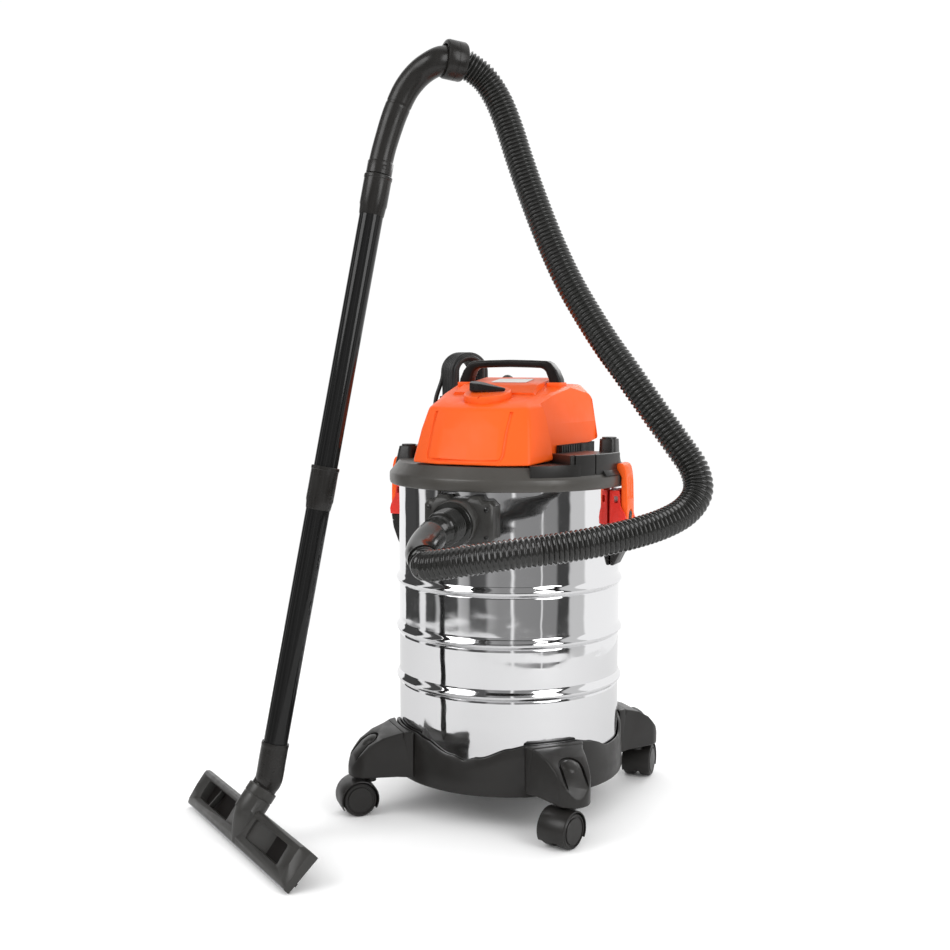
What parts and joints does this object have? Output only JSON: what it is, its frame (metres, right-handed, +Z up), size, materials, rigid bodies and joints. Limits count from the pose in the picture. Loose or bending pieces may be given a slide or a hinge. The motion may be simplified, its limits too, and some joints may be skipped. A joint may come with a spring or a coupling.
{
  "type": "shop vacuum",
  "caption": "Wet and dry drum vacuum: steel drum on a caster base, lift-off motor head held by side latches, suction hose, straight wand and floor nozzle.",
  "frame": {"origin": "on the floor, under the middle of the whole object with its wand, leaving out the hose and the mains cord", "axes": "+Z up, -Y towards the front (the hose inlet), +X towards the right latch"},
  "size_m": [0.7102, 0.6415, 1.0318],
  "materials": {
    "steel": "mirror polished stainless steel",
    "orange_plastic": "orange-red moulded plastic, light sheen",
    "dark_red_plastic": "dark red moulded plastic",
    "black_plastic": "black moulded plastic, satin",
    "black_rubber": "black rubber or soft vinyl",
    "hose_plastic": "ribbed black hose, semi-gloss",
    "motor_metal": "plain metal",
    "foam": "dark grey open-cell foam",
    "white_label": "plain white plate, nothing printed",
    "grey_plastic": "grey moulded plastic"
  },
  "bodies": {
    "tank": {"base_tray": "black_plastic", "caster_arm_front_left": "black_plastic", "caster_arm_front_right": "black_plastic", "caster_arm_rear_left": "black_plastic", "caster_arm_rear_right": "black_plastic", "drum": "steel", "hose_connector": "black_plastic", "hose_cuff": "black_rubber", "inlet_deflector": "black_plastic", "inlet_flange": "black_plastic", "latch_bracket_left": "dark_red_plastic", "latch_bracket_right": "dark_red_plastic", "latch_foot_left": "black_plastic", "latch_foot_right": "black_plastic", "latch_pin_left": "steel", "latch_pin_right": "steel", "suction_hose": "hose_plastic", "swivel_collar": "black_plastic"},
    "head": {"head_housing": "black_plastic", "lid_seal": "black_rubber", "motor_cover": "orange_plastic", "carry_handle": "black_plastic", "vent_grille_left": "black_plastic", "vent_grille_right": "black_plastic", "label_plate": "white_label", "cord_gland": "black_plastic", "cord_hook": "black_plastic", "cord_lead": "black_rubber", "cord_hank": "black_rubber", "plug": "black_rubber", "motor": "motor_metal", "fan_housing": "grey_plastic", "filter_cage": "grey_plastic", "filter_sleeve": "foam"},
    "power_switch": {"switch_knob": "black_plastic"},
    "impeller": {"impeller": "motor_metal"},
    "float": {"float_ball": "orange_plastic"},
    "latch_left": {"latch_lever_left": "orange_plastic"},
    "latch_right": {"latch_lever_right": "orange_plastic"},
    "wand": {"handle_tube": "black_plastic", "upper_tube": "black_plastic", "lower_tube": "black_plastic", "nozzle_elbow": "black_plastic"},
    "bleed_ring": {"bleed_ring": "black_plastic"},
    "nozzle": {"nozzle_body": "black_plastic", "nozzle_strip": "black_rubber"},
    "caster_front_right": {"caster_hood_front_right": "black_plastic"},
    "wheels_front_right": {"wheel_inner_front_right": "black_rubber", "wheel_outer_front_right": "black_rubber"},
    "caster_rear_right": {"caster_hood_rear_right": "black_plastic"},
    "wheels_rear_right": {"wheel_inner_rear_right": "black_rubber", "wheel_outer_rear_right": "black_rubber"},
    "caster_rear_left": {"caster_hood_rear_left": "black_plastic"},
    "wheels_rear_left": {"wheel_inner_rear_left": "black_rubber", "wheel_outer_rear_left": "black_rubber"},
    "caster_front_left": {"caster_hood_front_left": "black_plastic"},
    "wheels_front_left": {"wheel_inner_front_left": "black_rubber", "wheel_outer_front_left": "black_rubber"}
  },
  "joints": [
    {"name": "head_lift", "type": "slide", "parent": "tank", "child": "head", "axis": [0, 0, 1], "range_m": [0, 0.18]},
    {"name": "latch_right_open", "type": "hinge", "parent": "tank", "child": "latch_right", "pos_m": [0.2764, 0.1285, 0.408], "axis": [0, 1, 0], "range_deg": [0, 112]},
    {"name": "latch_left_open", "type": "hinge", "parent": "tank", "child": "latch_left", "pos_m": [-0.0726, 0.1285, 0.408], "axis": [0, -1, 0], "range_deg": [0, 112]},
    {"name": "power_switch_turn", "type": "hinge", "parent": "head", "child": "power_switch", "pos_m": [0.1019, 0.0509, 0.57981], "axis": [0, -0.2288, 0.9735], "range_deg": [-45, 45]},
    {"name": "impeller_spin", "type": "hinge", "parent": "head", "child": "impeller", "pos_m": [0.1019, 0.1285, 0.5], "axis": [0, 0, 1], "continuous": true},
    {"name": "float_rise", "type": "slide", "parent": "head", "child": "float", "axis": [0, 0, 1], "range_m": [0, 0.12]},
    {"name": "caster_swivel_front_right", "type": "hinge", "parent": "tank", "child": "caster_front_right", "pos_m": [0.24827, -0.01787, 0.05], "axis": [0, 0, 1], "continuous": true},
    {"name": "wheel_spin_front_right", "type": "hinge", "parent": "caster_front_right", "child": "wheels_front_right", "pos_m": [0.24361, -0.03526, 0.0235], "axis": [0.9659, -0.2588, 0], "continuous": true},
    {"name": "caster_swivel_rear_right", "type": "hinge", "parent": "tank", "child": "caster_rear_right", "pos_m": [0.24827, 0.27487, 0.05], "axis": [0, 0, 1], "continuous": true},
    {"name": "wheel_spin_rear_right", "type": "hinge", "parent": "caster_rear_right", "child": "wheels_rear_right", "pos_m": [0.24702, 0.29283, 0.0235], "axis": [-0.9976, -0.0698, 0], "continuous": true},
    {"name": "caster_swivel_rear_left", "type": "hinge", "parent": "tank", "child": "caster_rear_left", "pos_m": [-0.04447, 0.27487, 0.05], "axis": [0, 0, 1], "continuous": true},
    {"name": "wheel_spin_rear_left", "type": "hinge", "parent": "caster_rear_left", "child": "wheels_rear_left", "pos_m": [-0.03068, 0.28644, 0.0235], "axis": [-0.6428, 0.766, 0], "continuous": true},
    {"name": "caster_swivel_front_left", "type": "hinge", "parent": "tank", "child": "caster_front_left", "pos_m": [-0.04447, -0.01787, 0.05], "axis": [0, 0, 1], "continuous": true},
    {"name": "wheel_spin_front_left", "type": "hinge", "parent": "caster_front_left", "child": "wheels_front_left", "pos_m": [-0.05785, -0.02992, 0.0235], "axis": [0.6691, -0.7431, 0], "continuous": true},
    {"name": "wand_swivel", "type": "hinge", "parent": "tank", "child": "wand", "pos_m": [0.0814, -0.0115, 1.0058], "axis": [0.692, 0.7114, -0.1227], "range_deg": [-75, 75]},
    {"name": "nozzle_swivel", "type": "hinge", "parent": "wand", "child": "nozzle", "pos_m": [-0.11136, -0.18113, 0.07314], "axis": [0.3549, 0.4921, 0.7949], "range_deg": [-60, 60]},
    {"name": "bleed_ring_turn", "type": "hinge", "parent": "wand", "child": "bleed_ring", "pos_m": [-0.00238, -0.05707, 0.86791], "axis": [0.1285, 0.151, 0.9802], "range_deg": [0, 60]}
  ],
  "couplings": [
    {"joint": "latch_right_open", "follows": "head_lift", "rad_per_m": 10.806},
    {"joint": "latch_left_open", "follows": "head_lift", "rad_per_m": 10.806}
  ]
}
